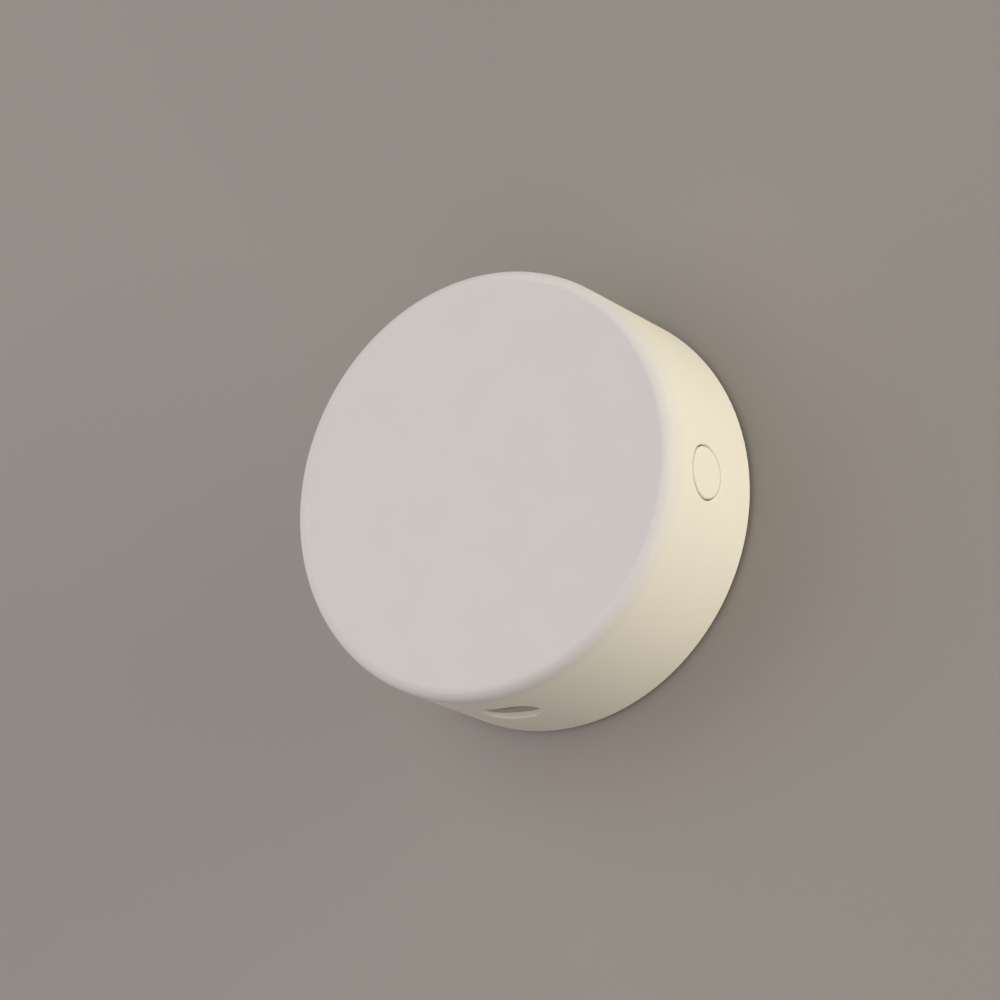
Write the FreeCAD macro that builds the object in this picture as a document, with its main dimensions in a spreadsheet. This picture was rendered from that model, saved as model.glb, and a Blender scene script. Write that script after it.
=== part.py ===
import FreeCAD, Part
import math
import os
import re

import Sketcher

# A round presence sensor that lies on its back. Millimetres, +Z out of the front face, origin at the
# middle of the pad's rear face, +X towards the push button and -Y towards the USB-C port.

SIZES = {
    # drum
    "drum_radius": 35.0,
    "drum_depth": 25.35,
    "side_wall": 2.0,
    "face_wall": 2.0,
    "rim_wall": 1.2,
    "front_round": 1.75,
    "rear_round": 0.6,
    "inner_round": 1.2,
    # what the side wall holds, measured back from the face
    "control_setback": 11.4,
    # rear cover and pad
    "cover_thickness": 2.4,
    "cover_gap": 0.15,
    "pad_proud": 0.6,
    "pad_inset": 0.8,
    "pad_gap": 0.2,
    "pad_lip": 0.75,
    "island_radius": 17.0,
    "rib_radius": 21.0,
    "rib_width": 1.2,
    "rib_height": 1.6,
    # posts and screws of the cover
    "post_radius": 2.9,
    "post_sink": 0.4,
    "cover_shank_radius": 1.1,
    "cover_head_radius": 1.9,
    "cover_head_height": 1.1,
    "cover_screw_length": 8.5,
    # posts and screws of the main board
    "board_post_radius": 2.5,
    "board_post_room": 1.3,
    "board_shank_radius": 1.0,
    "board_head_radius": 1.9,
    "board_head_height": 1.3,
    "board_screw_length": 6.5,
    "screw_clearance": 0.05,
    "screw_end_room": 1.0,
    "drive_width": 0.45,
    "drive_length": 2.3,
    "drive_depth": 0.6,
    # push button
    "button_radius": 4.2,
    "button_gap": 0.2,
    "button_edge_round": 0.3,
    "button_hole_round": 0.35,
    "button_travel": 0.35,
    "flange_reach": 1.0,
    "flange_gap": 0.1,
    "flange_depth": 1.4,
    "stem_radius": 1.2,
    "stem_length": 0.8,
    # tactile switch
    "press_gap": 0.05,
    "plunger_radius": 1.05,
    "plunger_proud": 0.9,
    "collar_radius": 1.35,
    "collar_length": 0.5,
    "plunger_gap": 0.1,
    "switch_depth": 3.5,
    "switch_width": 6.0,
    "switch_height": 3.2,
    "bracket_thickness": 0.2,
    "dome_height": 0.35,
    "dome_thickness": 0.1,
    # USB-C port
    "usb_width": 8.94,
    "usb_height": 3.26,
    "usb_length": 7.35,
    "usb_corner": 1.28,
    "usb_sheet": 0.3,
    "usb_gap": 0.15,
    "usb_leg_width": 1.0,
    "usb_leg_drop": 1.6,
    "tongue_width": 6.69,
    "tongue_thickness": 0.7,
    "tongue_length": 4.6,
    "plug_length": 1.3,
    "contact_pitch": 0.5,
    "contact_width": 0.25,
    "contact_thickness": 0.1,
    "contact_length": 3.9,
    # recess round the port and the soft frame on its floor
    "recess_depth": 1.35,
    "recess_corner": 3.45,
    "recess_edge_round": 0.25,
    "frame_thickness": 0.3,
    "frame_gap": 0.1,
    "frame_side": 0.23,
    "frame_rise": 1.72,
    # main board
    "board_gap": 0.8,
    "board_thickness": 1.2,
    "board_margin": 0.4,
    "parts_gap": 1.2,
    # radar board and its posts
    "radar_width": 34.0,
    "radar_length": 28.0,
    "radar_thickness": 1.0,
    "radar_corner": 2.0,
    "radar_middle_y": 1.5,
    "radome_gap": 3.0,
    "spacer_radius": 1.8,
    "spacer_inset": 3.0,
    "spacer_pin_radius": 1.0,
    "radar_shank_radius": 0.9,
    "radar_head_radius": 1.7,
    "radar_head_height": 1.1,
    "radar_shank_length": 4.5,
    # header between the boards
    "pin_pitch": 2.0,
    "pin_width": 0.5,
    "pin_gap": 0.03,
    "pin_lift": 1.0,
    "pin_stand": 0.8,
    "header_width": 2.2,
    "header_body_height": 1.6,
    # antennas and chips
    "patch_width": 3.2,
    "patch_length": 2.5,
    "patch_pitch": 5.2,
    "column_far": 11.0,
    "column_pitch": 6.0,
    "patch_thickness": 0.1,
    "feed_width": 0.4,
    "chip_side": 5.0,
    "chip_height": 0.9,
    "regulator_side": 3.2,
    "regulator_height": 1.1,
    "coil_side": 4.2,
    "coil_height": 2.0,
    "passive_length": 1.6,
    "passive_width": 0.8,
    "passive_height": 0.6,
    "crystal_length": 3.2,
    "crystal_width": 2.5,
    "crystal_height": 0.7,
    # radio module
    "radio_length": 15.0,
    "radio_width": 13.2,
    "radio_thickness": 0.8,
    "radio_inset": 2.8,
    "shield_length": 9.4,
    "shield_width": 11.6,
    "shield_height": 2.2,
    "shield_sheet": 0.2,
    "shield_inset": 1.0,
    "antenna_gap": 0.6,
    "antenna_inset": 0.9,
    "trace_width": 0.6,
    "trace_pitch": 1.8,
    # light
    "led_length": 1.6,
    "led_width": 1.0,
    "led_height": 0.6,
    "light_y": 9.0,
    "sensor_offset": 4.0,
    "guide_radius": 1.4,
    "guide_gap": 0.15,
    "guide_fit": 0.05,
    "guide_collar_wall": 0.8,
    "guide_collar_length": 1.6,
}

COVER_POSTS = 4
BOARD_POSTS = 3
FIRST_BOARD_POST = 90
SIDE_BOARD_POST = FIRST_BOARD_POST - 360 / BOARD_POSTS
HEADER_PINS = 6
CONTACTS = 12
PATCH_ROWS = 4
PATCH_COLUMNS = ("-column_far", "column_pitch - column_far", "column_far")
CAPACITORS = 5
RESISTORS = 4
TRACES = 5

# Places and sizes that follow from the ones above.
PLACES = {
    "rim_z": "pad_proud",
    "ledge_z": "rim_z + cover_thickness",
    "pad_floor_z": "rim_z + pad_inset",
    "front_z": "rim_z + drum_depth",
    "roof_z": "front_z - face_wall",
    "axis_z": "front_z - control_setback",
    "inner_radius": "drum_radius - side_wall",
    "rim_radius": "drum_radius - rim_wall",
    "cover_radius": "rim_radius - cover_gap",
    "pad_pocket_radius": "cover_radius - pad_lip",
    "post_pitch": "inner_radius - post_radius + post_sink",
    "board_top_z": "axis_z - usb_height / 2",
    "board_low_z": "board_top_z - board_thickness",
    "board_radius": "inner_radius - board_gap",
    "side_post_x": "radar_width / 2 + board_post_radius + board_post_room",
    "board_post_pitch": f"side_post_x / cos({SIDE_BOARD_POST} * 1deg)",
    "flange_radius": "button_radius + flange_reach",
    "flange_x": "inner_radius - flange_depth",
    "stem_tip_x": "flange_x - stem_length",
    "plunger_tip_x": "stem_tip_x - press_gap",
    "switch_front_x": "plunger_tip_x - plunger_proud",
    "switch_back_x": "switch_front_x - switch_depth",
    "collar_front_x": "switch_front_x - bracket_thickness - press_gap",
    "collar_back_x": "collar_front_x - collar_length",
    "cavity_back_x": "collar_back_x - button_travel - press_gap - dome_height",
    "board_cut_x": "stem_tip_x - button_travel - board_margin",
    "frame_hole_width": "usb_width + 2 * frame_gap",
    "frame_hole_height": "usb_height + 2 * frame_gap",
    "frame_width": "frame_hole_width + 2 * frame_side",
    "frame_height": "frame_hole_height + 2 * frame_rise",
    "recess_length": "frame_width + 2 * press_gap",
    "recess_width": "frame_height + 2 * press_gap",
    "recess_round": "min(recess_corner; recess_width / 2 - press_gap)",
    "recess_floor_reach": "drum_radius - recess_depth",
    "frame_back_reach": "recess_floor_reach + press_gap",
    "usb_mouth_reach": "frame_back_reach + frame_thickness",
    "usb_back_reach": "usb_mouth_reach - usb_length",
    "inside_width": "usb_width - 2 * usb_sheet",
    "inside_height": "usb_height - 2 * usb_sheet",
    "inside_corner": "usb_corner - usb_sheet",
    "radar_top_z": "roof_z - radome_gap",
    "radar_low_z": "radar_top_z - radar_thickness",
    "spacer_x": "radar_width / 2 - spacer_inset",
    "spacer_y": "radar_length / 2 - spacer_inset",
    "header_y": "radar_middle_y - spacer_y",
    "header_low_z": "radar_low_z - header_body_height",
    "socket_height": "header_low_z - press_gap - board_top_z",
    "pin_low_z": "board_top_z + pin_lift",
    "pin_top_z": "radar_top_z + pin_stand",
    "chip_y": "header_y + header_width / 2 + parts_gap + chip_side / 2",
    "parts_reach": "usb_back_reach - parts_gap",
    "radio_top_z": "board_top_z + radio_thickness",
    "radio_x": "-(board_radius - radio_inset - radio_width / 2)",
    "shield_y": "shield_inset + shield_length / 2 - radio_length / 2",
    "antenna_low_y": "shield_y + shield_length / 2 + antenna_gap",
    "antenna_reach": "radio_length / 2 - antenna_inset - antenna_low_y",
    "guide_low_z": "radar_top_z + led_height + guide_gap",
    "guide_top_z": "roof_z - guide_fit",
}

# A name in an expression: words joined by underscores.
WORD = re.compile(r"[a-z]+(?:_[a-z]+)+")

# How near two places are that count as one, and how many points along an edge are looked at.
CLOSE = 1e-3
EDGE_POINTS = 5

doc = FreeCAD.newDocument("presence_sensor")
sheet = doc.addObject("Spreadsheet::Sheet", "sizes")
for row, (alias, size) in enumerate(SIZES.items(), start=1):
    sheet.set(f"A{row}", alias)
    sheet.set(f"B{row}", str(size))
    sheet.setAlias(f"B{row}", alias)
doc.recompute()

sub_parts = []


def bound(text):
    """The expression in which every named place and size is read from the sheet."""

    def lookup(match):
        word = match.group(0)
        if word in PLACES:
            return f"({bound(PLACES[word])})"
        return f"sizes.{word}" if word in SIZES else word

    return WORD.sub(lookup, str(text))


def polar(pitch, degrees):
    """X and Y of a point at a distance and an angle from the drum's axis."""
    return f"({pitch}) * cos({degrees} * 1deg)", f"({pitch}) * sin({degrees} * 1deg)"


def bind(thing, **values):
    """Ties properties of an object to expressions."""
    for name, text in values.items():
        thing.setExpression(name, bound(text))
    return thing


def place(thing, x=0, y=0, z=0):
    """Ties the object's position to expressions."""
    for axis, text in (("x", x), ("y", y), ("z", z)):
        thing.setExpression(f"Placement.Base.{axis}", bound(text))
    return thing


ALONG_X = FreeCAD.Rotation(FreeCAD.Vector(0, 1, 0), 90)


def sub_part(thing, name):
    """Names a finished piece, which goes into the file of that name."""
    thing.Label = name
    sub_parts.append(thing)
    return thing


# Sketches and features of a body


def new_body(name):
    return doc.addObject("PartDesign::Body", f"{name}_body")


def origin_feature(body, role):
    return next(one for one in body.Origin.OriginFeatures if one.Role == role)


def new_sketch(body, name, plane, offset):
    """An empty sketch on one of the body's planes, moved along the plane's normal."""
    sketch = body.newObject("Sketcher::SketchObject", name)
    sketch.AttachmentSupport = [(origin_feature(body, plane), "")]
    sketch.MapMode = "FlatFace"
    sketch.setExpression("AttachmentOffset.Base.z", bound(offset))
    return sketch


def hold(sketch, kind, *where, to):
    """A dimension of the sketch that is tied to an expression."""
    index = sketch.addConstraint(Sketcher.Constraint(kind, *where, 1.0))
    sketch.setExpression(f"Constraints[{index}]", bound(to))


def corner_sketch(body, name, plane, corners, offset=0):
    """A closed outline of straight lines through corners, each an X and a Y."""
    sketch = new_sketch(body, name, plane, offset)
    count = len(corners)
    turns = [2 * math.pi * index / count for index in range(count)]
    start = [FreeCAD.Vector(math.cos(turn), math.sin(turn), 0) for turn in turns]
    for index in range(count):
        sketch.addGeometry(Part.LineSegment(start[index], start[(index + 1) % count]), False)
    for index in range(count):
        sketch.addConstraint(Sketcher.Constraint("Coincident", index, 2, (index + 1) % count, 1))
    for index, (x, y) in enumerate(corners):
        hold(sketch, "DistanceX", -1, 1, index, 1, to=x)
        hold(sketch, "DistanceY", -1, 1, index, 1, to=y)
    return sketch


def circle_sketch(body, name, plane, circles, offset=0):
    """Circles, each an X, a Y and a radius."""
    sketch = new_sketch(body, name, plane, offset)
    for index, (x, y, radius) in enumerate(circles):
        sketch.addGeometry(Part.Circle(FreeCAD.Vector(0, 0, 0), FreeCAD.Vector(0, 0, 1), 1), False)
        hold(sketch, "DistanceX", -1, 1, index, 3, to=x)
        hold(sketch, "DistanceY", -1, 1, index, 3, to=y)
        hold(sketch, "Radius", index, to=radius)
    return sketch


def rounded_sketch(body, name, plane, x, y, width, height, corner, offset=0):
    """A rectangle with round corners about its middle."""
    sketch = new_sketch(body, name, plane, offset)
    half = 2.0
    flat = 1.0
    sides = [
        (FreeCAD.Vector(-flat, -half, 0), FreeCAD.Vector(flat, -half, 0)),
        (FreeCAD.Vector(half, -flat, 0), FreeCAD.Vector(half, flat, 0)),
        (FreeCAD.Vector(flat, half, 0), FreeCAD.Vector(-flat, half, 0)),
        (FreeCAD.Vector(-half, flat, 0), FreeCAD.Vector(-half, -flat, 0)),
    ]
    middles = [(flat, -flat), (flat, flat), (-flat, flat), (-flat, -flat)]
    up = FreeCAD.Vector(0, 0, 1)
    for first, last in sides:
        sketch.addGeometry(Part.LineSegment(first, last), False)
    for index, (across, along) in enumerate(middles):
        circle = Part.Circle(FreeCAD.Vector(across, along, 0), up, half - flat)
        begin = math.pi / 2 * (index - 1)
        sketch.addGeometry(Part.ArcOfCircle(circle, begin, begin + math.pi / 2), False)
    count = len(sides)
    for index in range(count):
        arc = count + index
        sketch.addConstraint(Sketcher.Constraint("Tangent", index, 2, arc, 1))
        sketch.addConstraint(Sketcher.Constraint("Tangent", arc, 2, (index + 1) % count, 1))
        kind = "Horizontal" if index % 2 == 0 else "Vertical"
        sketch.addConstraint(Sketcher.Constraint(kind, index))
    for arc in range(count + 1, 2 * count):
        sketch.addConstraint(Sketcher.Constraint("Equal", count, arc))
    hold(sketch, "Radius", count, to=corner)
    hold(sketch, "DistanceX", -1, 1, 1, 1, to=f"({x}) + ({width}) / 2")
    hold(sketch, "DistanceX", -1, 1, 3, 1, to=f"({x}) - ({width}) / 2")
    hold(sketch, "DistanceY", -1, 1, 0, 1, to=f"({y}) - ({height}) / 2")
    hold(sketch, "DistanceY", -1, 1, 2, 1, to=f"({y}) + ({height}) / 2")
    return sketch


def pad(body, sketch, length):
    feature = body.newObject("PartDesign::Pad", f"{sketch.Name}_pad")
    feature.Profile = sketch
    return bind(feature, Length=length)


def pocket(body, sketch, length, along_normal=False):
    """Cuts against the sketch's normal, or along it."""
    feature = body.newObject("PartDesign::Pocket", f"{sketch.Name}_pocket")
    feature.Profile = sketch
    feature.Reversed = along_normal
    return bind(feature, Length=length)


def revolve(body, sketch):
    """Turns the sketch about its own upright axis."""
    feature = body.newObject("PartDesign::Revolution", f"{sketch.Name}_turned")
    feature.Profile = sketch
    feature.ReferenceAxis = (sketch, ["V_Axis"])
    feature.Angle = 360
    return feature


def solid_feature(body, kind, name, x=0, y=0, z=0, turn=None, **values):
    """A cylinder, cone or box that the body gains (Additive) or loses (Subtractive)."""
    feature = doc.addObject(f"PartDesign::{kind}", name)
    body.addObject(feature)
    if turn is not None:
        feature.Placement = FreeCAD.Placement(FreeCAD.Vector(0, 0, 0), turn)
    place(feature, x, y, z)
    return bind(feature, **values)


def block_feature(body, kind, name, x, y, z, length, width, height):
    """A box that the body gains or loses, centred on X and Y and standing on Z."""
    return solid_feature(
        body,
        kind,
        name,
        x=f"({x}) - ({length}) / 2",
        y=f"({y}) - ({width}) / 2",
        z=z,
        Length=length,
        Width=width,
        Height=height,
    )


def around(body, features, count, name):
    """Repeats features evenly about the body's Z axis."""
    pattern = body.newObject("PartDesign::PolarPattern", name)
    pattern.Originals = features
    pattern.Axis = (origin_feature(body, "Z_Axis"), [""])
    pattern.Angle = 360
    pattern.Occurrences = count
    body.Tip = pattern
    return pattern


def round_edges(body, base, name, radius, wanted):
    """Rounds the edges of a feature that a test picks out."""
    doc.recompute()
    edges = base.Shape.Edges
    names = [f"Edge{index}" for index, edge in enumerate(edges, start=1) if wanted(edge)]
    feature = body.newObject("PartDesign::Fillet", name)
    feature.Base = (base, names)
    return bind(feature, Radius=radius)


# Plain solids


def block(name, x, y, z, length, width, height):
    """A box that is centred on X and Y and stands on Z."""
    box = doc.addObject("Part::Box", name)
    place(box, f"({x}) - ({length}) / 2", f"({y}) - ({width}) / 2", z)
    return bind(box, Length=length, Width=width, Height=height)


def rod(name, x, y, z, radius, height, turn=None):
    """A cylinder from a point along +Z, or along the turned axis."""
    cylinder = doc.addObject("Part::Cylinder", name)
    if turn is not None:
        cylinder.Placement = FreeCAD.Placement(FreeCAD.Vector(0, 0, 0), turn)
    place(cylinder, x, y, z)
    return bind(cylinder, Radius=radius, Height=height)


def cut(name, base, tool):
    feature = doc.addObject("Part::Cut", name)
    feature.Base = base
    feature.Tool = tool
    return feature


def joined(name, pieces):
    feature = doc.addObject("Part::MultiFuse", name)
    feature.Shapes = pieces
    return feature


def group(name, pieces):
    """Several separate solids in one node."""
    feature = doc.addObject("Part::Compound", name)
    feature.Links = pieces
    return feature


# Front shell


def lies_at(edge, z):
    box = edge.BoundBox
    return abs(box.ZMin - z) < CLOSE and abs(box.ZMax - z) < CLOSE


def on_drum_side(edge):
    """True for an edge that runs in the drum's outside wall."""
    return all(
        abs(math.hypot(point.x, point.y) - sheet.drum_radius) < CLOSE
        for point in edge.discretize(EDGE_POINTS)
    )


def shell_drum(body):
    """The hollow drum with its round edges, open at the back, with a ledge for the cover."""
    profile = corner_sketch(
        body,
        "drum_profile",
        "XZ_Plane",
        [
            (0, "front_z"),
            ("drum_radius", "front_z"),
            ("drum_radius", "rim_z"),
            ("rim_radius", "rim_z"),
            ("rim_radius", "ledge_z"),
            ("inner_radius", "ledge_z"),
            ("inner_radius", "roof_z"),
            (0, "roof_z"),
        ],
    )
    drum = revolve(body, profile)
    doc.recompute()
    box = drum.Shape.BoundBox
    front = round_edges(body, drum, "front_edge", "front_round", lambda edge: lies_at(edge, box.ZMax))
    rear = round_edges(
        body,
        front,
        "rear_edge",
        "rear_round",
        lambda edge: lies_at(edge, box.ZMin) and edge.BoundBox.XMax > box.XMax - CLOSE,
    )
    roof = box.ZMax - sheet.face_wall
    return round_edges(body, rear, "roof_edge", "inner_round", lambda edge: lies_at(edge, roof))


def shell_posts(body):
    """Posts for the cover's screws and for the main board's, each with its screw hole."""
    x, y = polar("post_pitch", 180 / COVER_POSTS)
    post = pad(
        body,
        circle_sketch(body, "post", "XY_Plane", [(x, y, "post_radius")], "ledge_z"),
        "roof_z - ledge_z",
    )
    hole = pocket(
        body,
        circle_sketch(
            body,
            "post_hole",
            "XY_Plane",
            [(x, y, "cover_shank_radius + screw_clearance")],
            "ledge_z",
        ),
        "pad_floor_z + cover_screw_length + screw_end_room - ledge_z",
        along_normal=True,
    )
    around(body, [post, hole], COVER_POSTS, "posts")
    x, y = polar("board_post_pitch", FIRST_BOARD_POST)
    post = pad(
        body,
        circle_sketch(body, "board_post", "XY_Plane", [(x, y, "board_post_radius")], "board_top_z"),
        "roof_z - board_top_z",
    )
    hole = pocket(
        body,
        circle_sketch(
            body,
            "board_post_hole",
            "XY_Plane",
            [(x, y, "board_shank_radius + screw_clearance")],
            "board_top_z",
        ),
        "board_screw_length - board_thickness + screw_end_room",
        along_normal=True,
    )
    return around(body, [post, hole], BOARD_POSTS, "board_posts")


def shell_collar(body):
    """The collar on the inside of the face that holds the light guide."""
    collar = circle_sketch(
        body,
        "collar",
        "XY_Plane",
        [
            (0, "light_y", "guide_radius + guide_fit + guide_collar_wall"),
            (0, "light_y", "guide_radius + guide_fit"),
        ],
        "roof_z - guide_collar_length",
    )
    return pad(body, collar, "guide_collar_length")


def shell_openings(body):
    """The button's hole and the port's recess and mouth."""
    button = circle_sketch(
        body, "button_hole", "YZ_Plane", [(0, "axis_z", "button_radius + button_gap")], "flange_x"
    )
    bore = pocket(body, button, "drum_radius - flange_x", along_normal=True)
    round_edges(
        body,
        bore,
        "button_hole_edge",
        "button_hole_round",
        lambda edge: on_drum_side(edge) and edge.BoundBox.XMin > sheet.drum_radius / 2,
    )
    recess = rounded_sketch(
        body,
        "recess",
        "XZ_Plane",
        0,
        "axis_z",
        "recess_length",
        "recess_width",
        "recess_round",
        "recess_floor_reach",
    )
    hollow = pocket(body, recess, "recess_depth", along_normal=True)
    round_edges(
        body,
        hollow,
        "recess_edge",
        "recess_edge_round",
        lambda edge: on_drum_side(edge) and edge.BoundBox.YMax < -sheet.drum_radius / 2,
    )
    mouth = rounded_sketch(
        body,
        "mouth",
        "XZ_Plane",
        0,
        "axis_z",
        "usb_width + 2 * usb_gap",
        "usb_height + 2 * usb_gap",
        "usb_corner + usb_gap",
        "usb_back_reach",
    )
    pocket(body, mouth, "drum_radius - usb_back_reach", along_normal=True)


def front_shell():
    body = new_body("front_shell")
    shell_drum(body)
    shell_posts(body)
    shell_collar(body)
    shell_openings(body)
    sub_part(body, "front_shell")


# Rear cover, pad and screws


def rear_cover():
    body = new_body("rear_cover")
    disc = corner_sketch(
        body,
        "cover_profile",
        "XZ_Plane",
        [
            (0, "rim_z"),
            ("island_radius", "rim_z"),
            ("island_radius", "pad_floor_z"),
            ("pad_pocket_radius", "pad_floor_z"),
            ("pad_pocket_radius", "rim_z"),
            ("cover_radius", "rim_z"),
            ("cover_radius", "ledge_z"),
            ("rib_radius + rib_width", "ledge_z"),
            ("rib_radius + rib_width", "ledge_z + rib_height"),
            ("rib_radius", "ledge_z + rib_height"),
            ("rib_radius", "ledge_z"),
            (0, "ledge_z"),
        ],
    )
    revolve(body, disc)
    x, y = polar("post_pitch", 180 / COVER_POSTS)
    hole = solid_feature(
        body,
        "SubtractiveCylinder",
        "cover_hole",
        x,
        y,
        "pad_floor_z",
        Radius="cover_shank_radius + screw_clearance",
        Height="ledge_z - pad_floor_z",
    )
    sink = solid_feature(
        body,
        "SubtractiveCone",
        "cover_sink",
        x,
        y,
        "pad_floor_z",
        Radius1="cover_head_radius + screw_clearance",
        Radius2="cover_shank_radius + screw_clearance",
        Height="cover_head_height + screw_clearance",
    )
    around(body, [hole, sink], COVER_POSTS, "cover_holes")
    sub_part(body, "rear_cover")


def rear_pad():
    body = new_body("rear_pad")
    ring = circle_sketch(
        body,
        "pad_ring",
        "XY_Plane",
        [(0, 0, "pad_pocket_radius - pad_gap"), (0, 0, "island_radius + pad_gap")],
    )
    pad(body, ring, "pad_floor_z")
    sub_part(body, "rear_pad")


def screw_drive(body, name, x, y, z):
    """The two slots of a cross drive."""
    slots = [("drive_length", "drive_width"), ("drive_width", "drive_length")]
    return [
        block_feature(body, "SubtractiveBox", f"{name}_{index}", x, y, z, length, width, "drive_depth")
        for index, (length, width) in enumerate(slots)
    ]


def cover_screws():
    body = new_body("cover_screws")
    x, y = polar("post_pitch", 180 / COVER_POSTS)
    head = solid_feature(
        body,
        "AdditiveCone",
        "cover_head",
        x,
        y,
        "pad_floor_z + screw_clearance",
        Radius1="cover_head_radius",
        Radius2="cover_shank_radius",
        Height="cover_head_height",
    )
    shank = solid_feature(
        body,
        "AdditiveCylinder",
        "cover_shank",
        x,
        y,
        "pad_floor_z + screw_clearance",
        Radius="cover_shank_radius",
        Height="cover_screw_length",
    )
    drive = screw_drive(body, "cover_drive", x, y, "pad_floor_z + screw_clearance")
    around(body, [head, shank] + drive, COVER_POSTS, "cover_screw_ring")
    sub_part(body, "cover_screws")


# Main board and its screws


def main_board():
    body = new_body("main_board")
    disc = circle_sketch(body, "board_disc", "XY_Plane", [(0, 0, "board_radius")], "board_low_z")
    pad(body, disc, "board_thickness")
    x, y = polar("post_pitch", 180 / COVER_POSTS)
    notch = solid_feature(
        body,
        "SubtractiveCylinder",
        "board_notch",
        x,
        y,
        "board_low_z",
        Radius="post_radius + board_margin",
        Height="board_thickness",
    )
    around(body, [notch], COVER_POSTS, "board_notches")
    x, y = polar("board_post_pitch", FIRST_BOARD_POST)
    hole = solid_feature(
        body,
        "SubtractiveCylinder",
        "board_hole",
        x,
        y,
        "board_low_z",
        Radius="board_shank_radius + screw_clearance",
        Height="board_thickness",
    )
    around(body, [hole], BOARD_POSTS, "board_holes")
    solid_feature(
        body,
        "SubtractiveBox",
        "button_notch",
        "board_cut_x",
        "-flange_radius - board_margin",
        "board_low_z",
        Length="board_radius",
        Width="2 * (flange_radius + board_margin)",
        Height="board_thickness",
    )
    for index, (across, along) in enumerate(spacer_spots()):
        solid_feature(
            body,
            "SubtractiveCylinder",
            f"spacer_hole_{index}",
            across,
            along,
            "board_low_z",
            Radius="spacer_pin_radius + screw_clearance",
            Height="board_thickness",
        )
    for index, (across, along) in enumerate(leg_spots()):
        last = block_feature(
            body,
            "SubtractiveBox",
            f"leg_slot_{index}",
            across,
            along,
            "board_low_z",
            "usb_sheet + 2 * usb_gap",
            "usb_leg_width + 2 * usb_gap",
            "board_thickness",
        )
    body.Tip = last
    sub_part(body, "main_board")


def board_screws():
    body = new_body("board_screws")
    x, y = polar("board_post_pitch", FIRST_BOARD_POST)
    head = solid_feature(
        body,
        "AdditiveCylinder",
        "board_head",
        x,
        y,
        "board_low_z - board_head_height",
        Radius="board_head_radius",
        Height="board_head_height",
    )
    shank = solid_feature(
        body,
        "AdditiveCylinder",
        "board_shank",
        x,
        y,
        "board_low_z",
        Radius="board_shank_radius",
        Height="board_screw_length",
    )
    drive = screw_drive(body, "board_drive", x, y, "board_low_z - board_head_height")
    around(body, [head, shank] + drive, BOARD_POSTS, "board_screw_ring")
    sub_part(body, "board_screws")


# Push button and its switch


def trim_outside(body, name, radius):
    """Cuts away what lies outside a radius about the drum's axis."""
    ring = circle_sketch(body, name, "XY_Plane", [(0, 0, radius), (0, 0, "2 * drum_radius")])
    return pocket(body, ring, "2 * front_z", along_normal=True)


def pair_button():
    """A cap that is flush with the drum, the flange that keeps it in, and the stem that presses."""
    body = new_body("pair_button")
    solid_feature(
        body,
        "AdditiveCylinder",
        "flange",
        "flange_x",
        0,
        "axis_z",
        turn=ALONG_X,
        Radius="flange_radius",
        Height="drum_radius - flange_x",
    )
    trim_outside(body, "flange_face", "inner_radius - flange_gap")
    solid_feature(
        body,
        "AdditiveCylinder",
        "cap",
        "flange_x",
        0,
        "axis_z",
        turn=ALONG_X,
        Radius="button_radius",
        Height="drum_radius",
    )
    face = trim_outside(body, "cap_face", "drum_radius")
    round_edges(body, face, "cap_edge", "button_edge_round", on_drum_side)
    stem = solid_feature(
        body,
        "AdditiveCylinder",
        "stem",
        "stem_tip_x",
        0,
        "axis_z",
        turn=ALONG_X,
        Radius="stem_radius",
        Height="stem_length",
    )
    body.Tip = stem
    sub_part(body, "pair_button")


def switch_housing():
    body = new_body("switch_housing")
    block_feature(
        body,
        "AdditiveBox",
        "housing",
        "switch_back_x + (switch_depth - bracket_thickness) / 2",
        0,
        "board_top_z",
        "switch_depth - bracket_thickness",
        "switch_width",
        "switch_height",
    )
    cavity = solid_feature(
        body,
        "SubtractiveCylinder",
        "cavity",
        "cavity_back_x",
        0,
        "axis_z",
        turn=ALONG_X,
        Radius="collar_radius + plunger_gap",
        Height="switch_front_x - bracket_thickness - cavity_back_x",
    )
    body.Tip = cavity
    sub_part(body, "switch_housing")


def switch_plunger():
    body = new_body("switch_plunger")
    solid_feature(
        body,
        "AdditiveCylinder",
        "collar_disc",
        "collar_back_x",
        0,
        "axis_z",
        turn=ALONG_X,
        Radius="collar_radius",
        Height="collar_length",
    )
    tip = solid_feature(
        body,
        "AdditiveCylinder",
        "plunger_rod",
        "collar_back_x",
        0,
        "axis_z",
        turn=ALONG_X,
        Radius="plunger_radius",
        Height="plunger_tip_x - collar_back_x",
    )
    body.Tip = tip
    sub_part(body, "switch_plunger")


def switch_bracket():
    """The bent plate over the switch's front and top."""
    body = new_body("switch_bracket")
    block_feature(
        body,
        "AdditiveBox",
        "front_plate",
        "switch_front_x - bracket_thickness / 2",
        0,
        "board_top_z",
        "bracket_thickness",
        "switch_width",
        "switch_height + bracket_thickness",
    )
    block_feature(
        body,
        "AdditiveBox",
        "top_plate",
        "switch_back_x + switch_depth / 2",
        0,
        "board_top_z + switch_height",
        "switch_depth",
        "switch_width",
        "bracket_thickness",
    )
    window = solid_feature(
        body,
        "SubtractiveCylinder",
        "window",
        "switch_front_x - bracket_thickness",
        0,
        "axis_z",
        turn=ALONG_X,
        Radius="plunger_radius + plunger_gap",
        Height="bracket_thickness",
    )
    body.Tip = window
    sub_part(body, "switch_bracket")


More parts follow.
